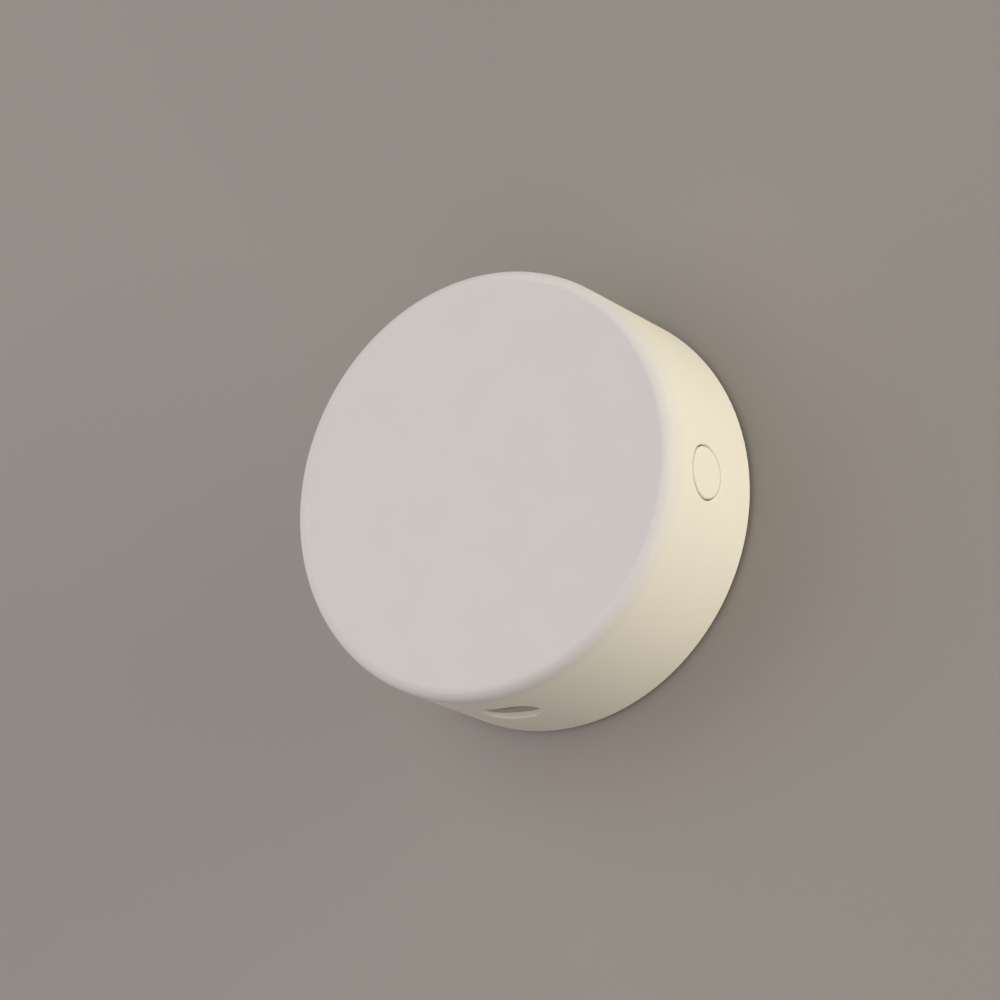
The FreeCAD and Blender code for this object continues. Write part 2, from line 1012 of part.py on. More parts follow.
def switch_dome():
    """A shallow dished disc on the floor of the switch's cavity."""
    rim = "collar_radius"
    top = "collar_radius / 3"
    body = new_body("switch_dome")
    solid_feature(
        body,
        "AdditiveCone",
        "dome",
        "cavity_back_x",
        0,
        "axis_z",
        turn=ALONG_X,
        Radius1=rim,
        Radius2=top,
        Height="dome_height",
    )
    hollow = solid_feature(
        body,
        "SubtractiveCone",
        "dome_hollow",
        "cavity_back_x",
        0,
        "axis_z",
        turn=ALONG_X,
        Radius1=f"{rim} - dome_thickness",
        Radius2=f"{top} - dome_thickness",
        Height="dome_height - dome_thickness",
    )
    body.Tip = hollow
    sub_part(body, "switch_dome")


# USB-C port


def leg_spots():
    """Where the port's four legs go through the board."""
    across = "(usb_width - usb_sheet) / 2"
    rows = ["usb_back_reach + usb_length / 4", "usb_back_reach + 3 * usb_length / 4 - usb_leg_width"]
    return [(f"{side} * {across}", f"-({row})") for row in rows for side in (-1, 1)]


def usb_shell():
    body = new_body("usb_shell")
    outer = rounded_sketch(
        body,
        "usb_outer",
        "XZ_Plane",
        0,
        "axis_z",
        "usb_width",
        "usb_height",
        "usb_corner",
        "usb_back_reach",
    )
    pad(body, outer, "usb_length")
    for index, (across, along) in enumerate(leg_spots()):
        block_feature(
            body,
            "AdditiveBox",
            f"leg_{index}",
            across,
            along,
            "board_top_z - usb_leg_drop",
            "usb_sheet",
            "usb_leg_width",
            "usb_leg_drop + usb_corner",
        )
    inner = rounded_sketch(
        body,
        "usb_inner",
        "XZ_Plane",
        0,
        "axis_z",
        "inside_width",
        "inside_height",
        "inside_corner",
        "usb_back_reach",
    )
    body.Tip = pocket(body, inner, "usb_length", along_normal=True)
    sub_part(body, "usb_shell")


def port_frame():
    """The soft frame round the port's mouth, flush with it, pressed into the recess."""
    body = new_body("port_frame")
    outer = rounded_sketch(
        body,
        "frame_outer",
        "XZ_Plane",
        0,
        "axis_z",
        "frame_width",
        "frame_height",
        "recess_round - press_gap",
        "frame_back_reach",
    )
    pad(body, outer, "frame_thickness")
    hole = rounded_sketch(
        body,
        "frame_hole",
        "XZ_Plane",
        0,
        "axis_z",
        "frame_hole_width",
        "frame_hole_height",
        "usb_corner + frame_gap",
        "recess_floor_reach",
    )
    pocket(body, hole, "recess_depth", along_normal=True)
    sub_part(body, "port_frame")


def usb_tongue():
    """The plug that closes the back of the port, and the tongue that stands out of it."""
    body = new_body("usb_tongue")
    base = rounded_sketch(
        body,
        "tongue_base",
        "XZ_Plane",
        0,
        "axis_z",
        "inside_width - 2 * press_gap",
        "inside_height - 2 * press_gap",
        "inside_corner - press_gap",
        "usb_back_reach",
    )
    pad(body, base, "plug_length")
    tongue = block_feature(
        body,
        "AdditiveBox",
        "tongue",
        0,
        "-(usb_back_reach + plug_length + tongue_length / 2)",
        "axis_z - tongue_thickness / 2",
        "tongue_width",
        "tongue_length",
        "tongue_thickness",
    )
    body.Tip = tongue
    sub_part(body, "usb_tongue")


def usb_contacts():
    """Two rows of flat contacts on the tongue."""
    strips = []
    for row, z in enumerate(
        ["axis_z + tongue_thickness / 2", "axis_z - tongue_thickness / 2 - contact_thickness"]
    ):
        for index in range(CONTACTS):
            strip = block(
                f"contact_{row}_{index}",
                f"({index} - {(CONTACTS - 1) / 2}) * contact_pitch",
                "-(usb_back_reach + plug_length + contact_length / 2)",
                z,
                "contact_width",
                "contact_length",
                "contact_thickness",
            )
            strips.append(strip)
    sub_part(group("contact_rows", strips), "usb_contacts")


# Radar board, its posts and screws


def spacer_spots():
    return [
        (f"{across} * spacer_x", f"radar_middle_y + {along} * spacer_y")
        for across in (-1, 1)
        for along in (-1, 1)
    ]


def pin_spots():
    middle = (HEADER_PINS - 1) / 2
    return [(f"({index} - {middle}) * pin_pitch", "header_y") for index in range(HEADER_PINS)]


def radar_board():
    body = new_body("radar_board")
    plate = rounded_sketch(
        body,
        "radar_plate",
        "XY_Plane",
        0,
        "radar_middle_y",
        "radar_width",
        "radar_length",
        "radar_corner",
        "radar_low_z",
    )
    pad(body, plate, "radar_thickness")
    holes = [(x, y, "radar_shank_radius + screw_clearance") for x, y in spacer_spots()]
    holes += [(x, y, "pin_width") for x, y in pin_spots()]
    sketch = circle_sketch(body, "radar_holes", "XY_Plane", holes, "radar_low_z")
    body.Tip = pocket(body, sketch, "radar_thickness", along_normal=True)
    sub_part(body, "radar_board")


def radar_spacers():
    posts = []
    for index, (x, y) in enumerate(spacer_spots()):
        post = rod(
            f"spacer_{index}", x, y, "board_top_z", "spacer_radius", "radar_low_z - board_top_z"
        )
        pin = rod(
            f"spacer_pin_{index}", x, y, "board_low_z", "spacer_pin_radius", "board_thickness"
        )
        hole = rod(
            f"spacer_bore_{index}",
            x,
            y,
            "radar_top_z - radar_shank_length - screw_end_room",
            "radar_shank_radius + screw_clearance",
            "radar_shank_length + screw_end_room",
        )
        solid = joined(f"spacer_solid_{index}", [post, pin])
        posts.append(cut(f"spacer_bored_{index}", solid, hole))
    sub_part(group("spacers", posts), "radar_spacers")


def radar_screws():
    screws = []
    for index, (x, y) in enumerate(spacer_spots()):
        head = rod(
            f"radar_head_{index}", x, y, "radar_top_z", "radar_head_radius", "radar_head_height"
        )
        shank = rod(
            f"radar_shank_{index}",
            x,
            y,
            "radar_top_z - radar_shank_length",
            "radar_shank_radius",
            "radar_shank_length",
        )
        slot = block(
            f"radar_slot_{index}",
            x,
            y,
            "radar_top_z + radar_head_height - drive_depth",
            "2 * radar_head_radius",
            "drive_width",
            "drive_depth",
        )
        solid = joined(f"radar_screw_{index}", [head, shank])
        screws.append(cut(f"radar_slotted_{index}", solid, slot))
    sub_part(group("radar_screw_set", screws), "radar_screws")


def radar_antennas():
    """Three columns of square patches, each column on one feed line."""
    span = f"{PATCH_ROWS - 1} * patch_pitch"
    columns = []
    for column, x in enumerate(PATCH_COLUMNS):
        patches = [
            block(
                f"patch_{column}_{row}",
                x,
                f"radar_middle_y + ({row} - {(PATCH_ROWS - 1) / 2}) * patch_pitch",
                "radar_top_z",
                "patch_width",
                "patch_length",
                "patch_thickness",
            )
            for row in range(PATCH_ROWS)
        ]
        feed = block(
            f"feed_{column}",
            x,
            "radar_middle_y",
            "radar_top_z",
            "feed_width",
            span,
            "patch_thickness",
        )
        columns.append(joined(f"column_{column}", patches + [feed]))
    sub_part(group("antenna_columns", columns), "radar_antennas")


def radar_chip():
    """The chip stands between the middle column and the far one."""
    chip = block(
        "radar_die",
        "(chip_side + parts_gap) / 2",
        "radar_middle_y",
        "radar_top_z",
        "chip_side",
        "chip_side",
        "chip_height",
    )
    sub_part(chip, "radar_chip")


def header_strip(name, z, height):
    """A plastic strip with a square hole for each pin."""
    strip = block(f"{name}_strip", 0, "header_y", z, f"{HEADER_PINS} * pin_pitch", "header_width", height)
    hole_width = "pin_width + 2 * pin_gap"
    holes = [
        block(f"{name}_hole_{index}", x, y, z, hole_width, hole_width, height)
        for index, (x, y) in enumerate(pin_spots())
    ]
    sub_part(cut(f"{name}_cut", strip, joined(f"{name}_holes", holes)), name)


def header_pins():
    pins = [
        block(f"pin_{index}", x, y, "pin_low_z", "pin_width", "pin_width", "pin_top_z - pin_low_z")
        for index, (x, y) in enumerate(pin_spots())
    ]
    sub_part(group("pin_row", pins), "header_pins")


# Chips and small parts


def on_board(name, x, y, length, width, height):
    """A plain packaged part that lies on the main board."""
    sub_part(block(f"{name}_block", x, y, "board_top_z", length, width, height), name)


def row_of(name, count, x, y):
    """Small parts in a row along X on the main board, as far apart as they are wide."""
    pieces = [
        block(
            f"{name}_{index}",
            f"({x}) + {index} * 2 * passive_width",
            y,
            "board_top_z",
            "passive_width",
            "passive_length",
            "passive_height",
        )
        for index in range(count)
    ]
    sub_part(group(f"{name}_row", pieces), name)


def small_parts():
    power_y = "coil_side / 2 - parts_reach"
    on_board("controller_chip", 0, "chip_y", "chip_side", "chip_side", "chip_height")
    on_board("inductor", "-coil_side", power_y, "coil_side", "coil_side", "coil_height")
    on_board(
        "regulator",
        "regulator_side / 2 + parts_gap",
        power_y,
        "regulator_side",
        "regulator_side",
        "regulator_height",
    )
    on_board(
        "crystal",
        "chip_side / 2 + parts_gap + crystal_length / 2",
        "chip_y",
        "crystal_length",
        "crystal_width",
        "crystal_height",
    )
    row_of("capacitors", CAPACITORS, "usb_width / 2 + parts_gap", "-(usb_back_reach + passive_length)")
    row_of("resistors", RESISTORS, "-chip_side", "chip_y + (chip_side + passive_length) / 2 + parts_gap")


# Radio module


def radio_module():
    board = block(
        "radio_plate", "radio_x", 0, "board_top_z", "radio_width", "radio_length", "radio_thickness"
    )
    sub_part(board, "radio_board")
    lid = block(
        "shield_outside",
        "radio_x",
        "shield_y",
        "radio_top_z",
        "shield_width",
        "shield_length",
        "shield_height",
    )
    room = block(
        "shield_inside",
        "radio_x",
        "shield_y",
        "radio_top_z",
        "shield_width - 2 * shield_sheet",
        "shield_length - 2 * shield_sheet",
        "shield_height - shield_sheet",
    )
    sub_part(cut("shield_can", lid, room), "radio_shield")
    chip = block(
        "radio_die", "radio_x", "shield_y", "radio_top_z", "chip_side", "chip_side", "chip_height"
    )
    sub_part(chip, "radio_chip")


def radio_antenna():
    """A flat zigzag track beside the lid."""
    rungs = [
        block(
            f"rung_{index}",
            f"radio_x + ({index} - {(TRACES - 1) / 2}) * trace_pitch",
            "antenna_low_y + antenna_reach / 2",
            "radio_top_z",
            "trace_width",
            "antenna_reach",
            "patch_thickness",
        )
        for index in range(TRACES)
    ]
    links = [
        block(
            f"rung_link_{index}",
            f"radio_x + ({index} - {(TRACES - 2) / 2}) * trace_pitch",
            f"antenna_low_y + trace_width / 2 + {index % 2} * (antenna_reach - trace_width)",
            "radio_top_z",
            "trace_pitch + trace_width",
            "trace_width",
            "patch_thickness",
        )
        for index in range(TRACES - 1)
    ]
    sub_part(joined("zigzag", rungs + links), "radio_antenna")


# Light


def light_parts():
    led = block("led_block", 0, "light_y", "radar_top_z", "led_length", "led_width", "led_height")
    sub_part(led, "status_led")
    guide = rod("guide_rod", 0, "light_y", "guide_low_z", "guide_radius", "guide_top_z - guide_low_z")
    sub_part(guide, "light_guide")
    sensor = block(
        "sensor_block",
        "sensor_offset",
        "light_y",
        "radar_top_z",
        "led_length",
        "led_width",
        "led_height",
    )
    sub_part(sensor, "light_sensor")


def build():
    front_shell()
    rear_cover()
    rear_pad()
    cover_screws()
    main_board()
    board_screws()
    pair_button()
    switch_housing()
    switch_plunger()
    switch_bracket()
    switch_dome()
    usb_shell()
    port_frame()
    usb_tongue()
    usb_contacts()
    radar_board()
    radar_spacers()
    radar_screws()
    radar_antennas()
    header_strip("header_socket", "board_top_z", "socket_height")
    header_strip("header_body", "header_low_z", "header_body_height")
    header_pins()
    radar_chip()
    small_parts()
    radio_module()
    radio_antenna()
    light_parts()
    doc.recompute()


def check():
    """Stops on a feature that failed or a piece with no valid shape."""
    for thing in doc.Objects:
        if "Invalid" in thing.State or "Error" in thing.State:
            raise RuntimeError(f"{thing.Label} failed: {thing.State}")
    for piece in sub_parts:
        if piece.Shape.isNull() or not piece.Shape.isValid():
            raise RuntimeError(f"{piece.Label} has no valid shape")


def write():
    os.makedirs("parts", exist_ok=True)
    for piece in sub_parts:
        piece.Shape.exportStep(f"parts/{piece.Label}.step")
        print(piece.Label, len(piece.Shape.Solids), round(piece.Shape.Volume, 2))


build()
check()
write()
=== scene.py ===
import math

import bmesh
import bpy
from mathutils import Matrix, Vector

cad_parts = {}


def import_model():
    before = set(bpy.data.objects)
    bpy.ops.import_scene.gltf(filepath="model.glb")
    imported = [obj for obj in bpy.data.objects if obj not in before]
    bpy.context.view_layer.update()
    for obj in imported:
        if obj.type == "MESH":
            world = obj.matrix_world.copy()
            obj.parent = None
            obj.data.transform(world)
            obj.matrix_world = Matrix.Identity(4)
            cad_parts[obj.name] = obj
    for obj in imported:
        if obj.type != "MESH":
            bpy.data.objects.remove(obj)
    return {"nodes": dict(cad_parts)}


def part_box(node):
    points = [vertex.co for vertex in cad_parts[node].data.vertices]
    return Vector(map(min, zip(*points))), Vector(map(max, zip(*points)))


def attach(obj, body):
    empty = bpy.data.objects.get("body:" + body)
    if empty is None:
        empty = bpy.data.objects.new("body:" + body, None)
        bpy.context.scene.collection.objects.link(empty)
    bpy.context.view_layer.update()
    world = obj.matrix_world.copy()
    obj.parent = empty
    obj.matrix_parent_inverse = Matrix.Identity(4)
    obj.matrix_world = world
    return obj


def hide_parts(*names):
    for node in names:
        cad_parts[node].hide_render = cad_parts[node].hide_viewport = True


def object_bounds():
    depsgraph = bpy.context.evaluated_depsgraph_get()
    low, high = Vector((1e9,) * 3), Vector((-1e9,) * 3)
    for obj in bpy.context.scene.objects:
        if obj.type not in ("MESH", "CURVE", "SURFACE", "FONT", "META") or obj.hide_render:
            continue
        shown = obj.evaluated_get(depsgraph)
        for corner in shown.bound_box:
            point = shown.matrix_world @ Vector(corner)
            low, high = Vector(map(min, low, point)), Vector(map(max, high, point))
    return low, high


# The looks of a round presence sensor that lies on its back. Metres, +Z out of the front face.

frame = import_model()
cad_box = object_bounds()
nodes = frame["nodes"]

MM = 0.001
FRONT_Z = cad_box[1].z

# The rear pad.

PAD_INNER = 17.2 * MM
PAD_REST_EDGE = 0.3 * MM
PAD_COVER_EDGE = 0.05 * MM
GROOVES = 7
GROOVE_FIRST = 19.2 * MM
GROOVE_PITCH = 1.9 * MM
GROOVE_WIDTH = 0.5 * MM
GROOVE_DEPTH = 0.2 * MM
GROOVE_EDGE = 0.1 * MM
GROOVE_CORNER = 0.06 * MM

# The port. An outline is its width, its height and its corner radius.

FRAME_HOLE = (9.14 * MM, 3.46 * MM, 1.38 * MM)
FRAME_CORNER = 3.4 * MM
FRAME_EDGE = 0.09 * MM
USB_OUTSIDE = (8.94 * MM, 3.26 * MM, 1.28 * MM)
USB_SHEET = 0.3 * MM
USB_LIP = 0.45 * USB_SHEET
USB_LEG = 1.0 * MM

# The soldered pads and ends of the small parts. PASSIVES tells how many each node has.

CHIPS = ("controller_chip", "radar_chip", "radio_chip", "regulator")
LEAD_PITCH = 0.65 * MM
LEAD_WIDTH = 0.32 * MM
LEAD_LENGTH = 0.4 * MM
LEAD_HEIGHT = 0.2 * MM
PASSIVES = {"capacitors": 5, "resistors": 4}
PASSIVE_WIDTH = 0.8 * MM
END_CAP = 0.34 * MM
CAP_SKIN = 0.02 * MM
EDGE_PAD_PITCH = 1.27 * MM
EDGE_PAD = 0.7 * MM
EDGE_PAD_PROUD = 0.04 * MM

# Rounding: the steps of a full turn, the angles along a round edge, the edge of a small block as
# a share of its smallest side, and the angle from which an edge is drawn sharp.

TURN_STEPS = 192
ARC_DEGREES = (0, 30, 60, 90)
BLOCK_EDGE = 0.2
SHARP_ANGLE = math.radians(40)

# The shell's colours, by the depth below its face. The side's cream is partly painted warm light,
# and the round front edge gets painted shade.

COLOR_TURN = 4.6 * MM
# Painted shade: the round front edge is darkened between these depths and by this share.
EDGE_SHADE_FROM = 1.6 * MM
EDGE_SHADE_FULL = EDGE_SHADE_FROM / 2
EDGE_SHADE_TO = EDGE_SHADE_FROM / 5
EDGE_PAINTED_SHADE = 0.945

# The circuit boards. TRACK_EDGE is where a track's soft edge begins and ends beside its middle,
# BUNDLE_SHARE how many of the bundles are there, and HOLE_EDGE a hole's rim in hole pitches.

TRACK_PITCH = 0.6 * MM
TRACK_WIDTH = 0.22 * MM
TRACK_EDGE = (TRACK_WIDTH * 0.4, TRACK_WIDTH * 0.6)
TRACK_STEP = 1.8 * MM
TRACK_STEP_EVERY = 7.0 * MM
TRACK_HEIGHT = 0.02 * MM
BUNDLE = (6.1 * MM, 3.0 * MM)
BUNDLE_SHARE = 0.62
HOLE_PITCH = 3.4 * MM
HOLE_EDGE = (0.06, 0.08)
WEAVE_PITCH = 1.6 * MM
WEAVE_DEPTH = 0.006 * MM

# Shared by several finishes: how sharp an edge is that begins to look worn and that fully does,
# and how far plastics bend light.

WORN_FROM = 0.52
WORN_FULL = 0.60
PLASTIC_IOR = 1.49

# The Mix node's sockets for colours. They go by number, because others have the same names.

MIX_FACTOR = 0
MIX_FIRST = 6
MIX_SECOND = 7
MIX_RESULT = 2

# Colours, as linear red, green and blue.

FACE_WHITE = (0.718, 0.690, 0.680)
# The side's cream is partly painted warm light from the side; the face's white is cooler.
SIDE_CREAM_AND_WARM_LIGHT = (0.800, 0.750, 0.660)
COVER_WHITE = (0.770, 0.735, 0.680)
PAD_GREY = (0.300, 0.292, 0.280)
# The port frame's grey stands in for the shade in the recess: painted shade.
FRAME_SHADE_GREY = (0.440, 0.410, 0.367)
NYLON = (0.800, 0.780, 0.720)
BOARD_GREEN = (0.018, 0.105, 0.048)
BOARD_BLUE = (0.012, 0.030, 0.085)
EPOXY_BLACK = (0.018, 0.018, 0.020)
PLASTIC_BLACK = (0.022, 0.022, 0.024)
GOLD = (0.830, 0.600, 0.250)
STEEL = (0.560, 0.560, 0.570)
DULL_NICKEL = (0.450, 0.445, 0.430)
TIN = (0.620, 0.610, 0.590)
CERAMIC_TAN = (0.420, 0.300, 0.190)
RESISTOR_BLACK = (0.025, 0.025, 0.028)
LED_YELLOW = (0.760, 0.700, 0.420)
CLEAR = (0.930, 0.945, 0.950)
FLOOR_GREY = (0.347, 0.320, 0.299)
KEY_CREAM = (1.0, 0.965, 0.815)
FILL_WHITE = (1.0, 1.0, 0.96)
LOW_PINK = (1.0, 0.86, 0.86)
WORLD_WHITE = (1.0, 1.0, 1.0)

# The stage, with its floor just under the pad.

FLOOR_HALF = 4.0
FLOOR_Z = -0.02 * MM
WORLD_STRENGTH = 0.30

# The camera of the photograph: its place, and its right, up and backward directions.

CAMERA_PLACE = Vector((0.36219, -0.18704, 0.58558))
CAMERA_RIGHT = Vector((0.8458838, 0.0259280, -0.5327366))
CAMERA_UP = Vector((0.1208584, 0.9635200, 0.2387940))
CAMERA_BACK = Vector((0.5194938, -0.2663776, 0.8118923))
CAMERA_LENS = 158.14
CAMERA_SENSOR = 36.0
CAMERA_NEAR = 0.01
CAMERA_FAR = 20.0


# Shader nodes


def feed(tree, made, inputs):
    """Sets a node's inputs to values or joins them to other nodes' outputs."""
    for name, value in inputs.items():
        socket = made.inputs[name]
        if isinstance(value, bpy.types.NodeSocket):
            tree.links.new(value, socket)
        else:
            socket.default_value = value


def node(tree, kind, inputs, **settings):
    """A new node with those inputs and settings."""
    made = tree.nodes.new(f"ShaderNode{kind}")
    for name, value in settings.items():
        setattr(made, name, value)
    feed(tree, made, inputs)
    return made


def new_material(name):
    """An empty material, its tree, its shader and the object's own coordinates."""
    made = bpy.data.materials.new(name)
    made.use_nodes = True
    tree = made.node_tree
    shader = tree.nodes["Principled BSDF"]
    place = tree.nodes.new("ShaderNodeTexCoord").outputs["Object"]
    return made, tree, shader, place


def noise(tree, place, size, detail=3.0, squeeze=(1.0, 1.0, 1.0)):
    """Noise in spots of about that size, which are squeezed that many times along X, Y and Z."""
    scale = [times / size for times in squeeze]
    moved = node(tree, "Mapping", {"Vector": place, "Scale": scale})
    inputs = {"Vector": moved.outputs["Vector"], "Scale": 1.0, "Detail": detail}
    return node(tree, "TexNoise", inputs).outputs["Fac"]


def spread(tree, value, low=0.0, high=1.0, start=0.3, end=0.7):
    """Maps what lies between start and end, as most of a noise does, to the range low to high."""
    inputs = {"Value": value, "From Min": start, "From Max": end, "To Min": low, "To Max": high}
    return node(tree, "MapRange", inputs).outputs["Result"]


def math_node(tree, operation, first, second):
    return node(tree, "Math", {0: first, 1: second}, operation=operation).outputs[0]


def mixed(tree, factor, first, second):
    """The first colour where the factor is 0, the second where it is 1."""
    inputs = {MIX_FACTOR: factor, MIX_FIRST: first, MIX_SECOND: second}
    return node(tree, "Mix", inputs, data_type="RGBA").outputs[MIX_RESULT]


def toned(tree, color, value, saturation=1.0):
    """A colour times value, its saturation times saturation."""
    inputs = {"Color": color, "Value": value, "Saturation": saturation}
    return node(tree, "HueSaturation", inputs).outputs["Color"]


def shade(color, factor=1.0):
    """A named colour times factor, with its alpha."""
    return (*(min(part * factor, 1.0) for part in color), 1.0)


def bumps(tree, shader, layers):
    """Stacks bumps, each a height and its depth in metres."""
    inputs = {"Strength": 1.0}
    for height, depth in layers:
        inputs.update({"Height": height, "Distance": depth})
        inputs["Normal"] = node(tree, "Bump", inputs).outputs["Normal"]
    feed(tree, shader, {"Normal": inputs["Normal"]})


def worn_edges(tree):
    """1 on sharp outside edges, 0 elsewhere."""
    form = node(tree, "NewGeometry", {})
    return spread(tree, form.outputs["Pointiness"], start=WORN_FROM, end=WORN_FULL)


# Materials


def moulded(name, color, roughness, spark=0.16 * MM, depth=0.006 * MM, recolor=None):
    """Moulded plastic: fine spark texture, faint clouds in colour and gloss, polished edges."""
    made, tree, shader, place = new_material(name)
    base = shade(color)
    if recolor is not None:
        base = recolor(tree, place, base)
    clouds = spread(tree, noise(tree, place, 9 * MM))
    tone = mixed(tree, clouds, base, toned(tree, base, 0.985))
    dust = spread(tree, noise(tree, place, 0.5 * MM, detail=5.0))
    tone = mixed(tree, dust, tone, toned(tree, tone, 0.992, saturation=0.97))
    edge = worn_edges(tree)
    tone = mixed(tree, edge, tone, toned(tree, tone, 1.02))
    gloss = noise(tree, place, 3 * MM, detail=6.0)
    rough = spread(tree, gloss, roughness - 0.03, roughness + 0.04)
    rough = math_node(tree, "ADD", rough, math_node(tree, "MULTIPLY", edge, -0.08))
    feed(tree, shader, {"Base Color": tone, "Roughness": rough, "IOR": PLASTIC_IOR})
    swell = noise(tree, place, 6 * MM, detail=2.0)
    grain = noise(tree, place, spark, detail=4.0)
    bumps(tree, shader, [(swell, 0.02 * MM), (grain, depth)])
    return made


def face_to_side(tree, place, face):
    """The side's cream, partly painted warm light, turns to the face's white just below the face.
    The round edge is darker with painted shade.
    """
    height = node(tree, "SeparateXYZ", {"Vector": place}).outputs["Z"]
    turn = spread(tree, height, start=FRONT_Z - COLOR_TURN, end=FRONT_Z)
    # Painted warm light: part of the side's cream stands in for warm light falling on the side.
    tone = mixed(tree, turn, shade(SIDE_CREAM_AND_WARM_LIGHT), face)
    # Painted shade: the round front edge is darkened between these depths.
    rise = spread(tree, height, start=FRONT_Z - EDGE_SHADE_FROM, end=FRONT_Z - EDGE_SHADE_FULL)
    fall = spread(tree, height, 1.0, 0.0, start=FRONT_Z - EDGE_SHADE_TO, end=FRONT_Z)
    edge = math_node(tree, "MULTIPLY", rise, fall)
    return mixed(tree, edge, tone, toned(tree, tone, EDGE_PAINTED_SHADE))


def rubber(name, color):
    """Moulded silicone: matt, with a fine grain, lint and faint streaks of wear."""
    made, tree, shader, place = new_material(name)
    clouds = spread(tree, noise(tree, place, 5 * MM))
    tone = mixed(tree, clouds, shade(color, 0.97), shade(color, 1.03))
    lint = noise(tree, place, 0.22 * MM, detail=2.0, squeeze=(1.0, 0.35, 1.0))
    lint = spread(tree, lint, 0.0, 0.5, start=0.68, end=0.8)
    tone = mixed(tree, lint, tone, shade(color, 1.5))
    streaks = noise(tree, place, 0.7 * MM, detail=4.0, squeeze=(0.12, 1.0, 1.0))
    streaks = spread(tree, streaks, 0.0, 0.5, start=0.6, end=0.8)
    tone = mixed(tree, streaks, tone, shade(color, 0.88))
    rough = spread(tree, noise(tree, place, 1.5 * MM, detail=4.0), 0.7, 0.84)
    feed(tree, shader, {"Base Color": tone, "Roughness": rough, "Specular IOR Level": 0.35})
    swell = noise(tree, place, 0.4 * MM, detail=2.0)
    grain = noise(tree, place, 0.09 * MM)
    bumps(tree, shader, [(swell, 0.01 * MM), (grain, 0.008 * MM)])
    return made


def metal(name, color, roughness, squeeze=(1.0, 1.0, 1.0)):
    """Plated or stamped metal with drawn streaks, small stains and bright edges."""
    made, tree, shader, place = new_material(name)
    stains = spread(tree, noise(tree, place, 1.5 * MM, detail=5.0), start=0.45, end=0.75)
    tone = mixed(tree, stains, shade(color), shade(color, 0.82))
    tone = mixed(tree, worn_edges(tree), tone, shade(color, 1.15))
    streaks = noise(tree, place, 0.25 * MM, detail=5.0, squeeze=squeeze)
    rough = spread(tree, streaks, roughness - 0.07, roughness + 0.1)
    feed(tree, shader, {"Base Color": tone, "Roughness": rough, "Metallic": 1.0})
    bumps(tree, shader, [(streaks, 0.004 * MM)])
    return made


def track_bundles(tree, place):
    """1 on copper tracks that run along X side by side in bundles and step aside at 45 degrees."""
    parts = node(tree, "SeparateXYZ", {"Vector": place}).outputs
    along = math_node(tree, "PINGPONG", parts["X"], TRACK_STEP_EVERY)
    start = (TRACK_STEP_EVERY - TRACK_STEP) / 2
    aside = spread(tree, along, 0.0, TRACK_STEP, start=start, end=start + TRACK_STEP)
    across = math_node(tree, "ADD", parts["Y"], aside)
    beside = math_node(tree, "PINGPONG", across, TRACK_PITCH / 2)
    stripes = spread(tree, beside, 1.0, 0.0, *TRACK_EDGE)
    column = math_node(tree, "DIVIDE", parts["X"], BUNDLE[0])
    row = math_node(tree, "DIVIDE", across, BUNDLE[1])
    spot = node(tree, "CombineXYZ", {"X": column, "Y": row}).outputs["Vector"]
    cell = node(tree, "VectorMath", {0: spot}, operation="FLOOR").outputs["Vector"]
    chance = node(tree, "TexWhiteNoise", {"Vector": cell}).outputs["Value"]
    there = math_node(tree, "LESS_THAN", chance, BUNDLE_SHARE)
    return math_node(tree, "MULTIPLY", stripes, there)


def circuit_board(name, color):
    """Solder mask over glass weave, with copper tracks and small plated holes that show."""
    made, tree, shader, place = new_material(name)
    blotches = spread(tree, noise(tree, place, 2 * MM, detail=4.0))
    tone = mixed(tree, blotches, shade(color), shade(color, 0.85))
    tracks = track_bundles(tree, place)
    tone = mixed(tree, tracks, tone, shade(color, 2.2))
    spots = {"Vector": place, "Scale": 1.0 / HOLE_PITCH}
    near = node(tree, "TexVoronoi", spots, voronoi_dimensions="2D").outputs["Distance"]
    holes = spread(tree, near, 1.0, 0.0, *HOLE_EDGE)
    tone = mixed(tree, holes, tone, shade(TIN, 0.7))
    rough = spread(tree, noise(tree, place, 0.7 * MM), 0.26, 0.4)
    feed(tree, shader, {"Base Color": tone, "Roughness": rough, "Coat Weight": 0.25})
    weave = {"Vector": place, "Scale": 1.0 / WEAVE_PITCH, "Distortion": 0.6}
    layers = []
    for direction in ("X", "Y"):
        threads = node(tree, "TexWave", weave, bands_direction=direction).outputs["Fac"]
        layers.append((threads, WEAVE_DEPTH))
    layers.append((tracks, TRACK_HEIGHT))
    bumps(tree, shader, layers)
    return made


def packaged(name, color, roughness):
    """Moulded epoxy or fired ceramic of a small part: sandy grain and rubbed corners."""
    made, tree, shader, place = new_material(name)
    sand = spread(tree, noise(tree, place, 0.08 * MM), start=0.4, end=0.7)
    tone = mixed(tree, sand, shade(color, 0.9), shade(color, 1.35))
    tone = mixed(tree, worn_edges(tree), tone, shade(color, 2.0))
    gloss = noise(tree, place, 0.6 * MM, detail=4.0)
    rough = spread(tree, gloss, roughness - 0.06, roughness + 0.08)
    feed(tree, shader, {"Base Color": tone, "Roughness": rough})
    bumps(tree, shader, [(noise(tree, place, 0.06 * MM, detail=4.0), 0.004 * MM)])
    return made


def clear_plastic(name, color):
    """Clear acrylic with faint flow lines and a soft surface."""
    made, tree, shader, place = new_material(name)
    flow = spread(tree, noise(tree, place, 0.6 * MM, squeeze=(1.0, 1.0, 0.2)))
    tone = mixed(tree, flow, shade(color), shade(color, 0.96))
    rough = spread(tree, noise(tree, place, 0.4 * MM, detail=4.0), 0.06, 0.16)
    feed(tree, shader, {"Base Color": tone, "Roughness": rough})
    feed(tree, shader, {"Transmission Weight": 0.9, "IOR": PLASTIC_IOR})
    bumps(tree, shader, [(flow, 0.002 * MM)])
    return made


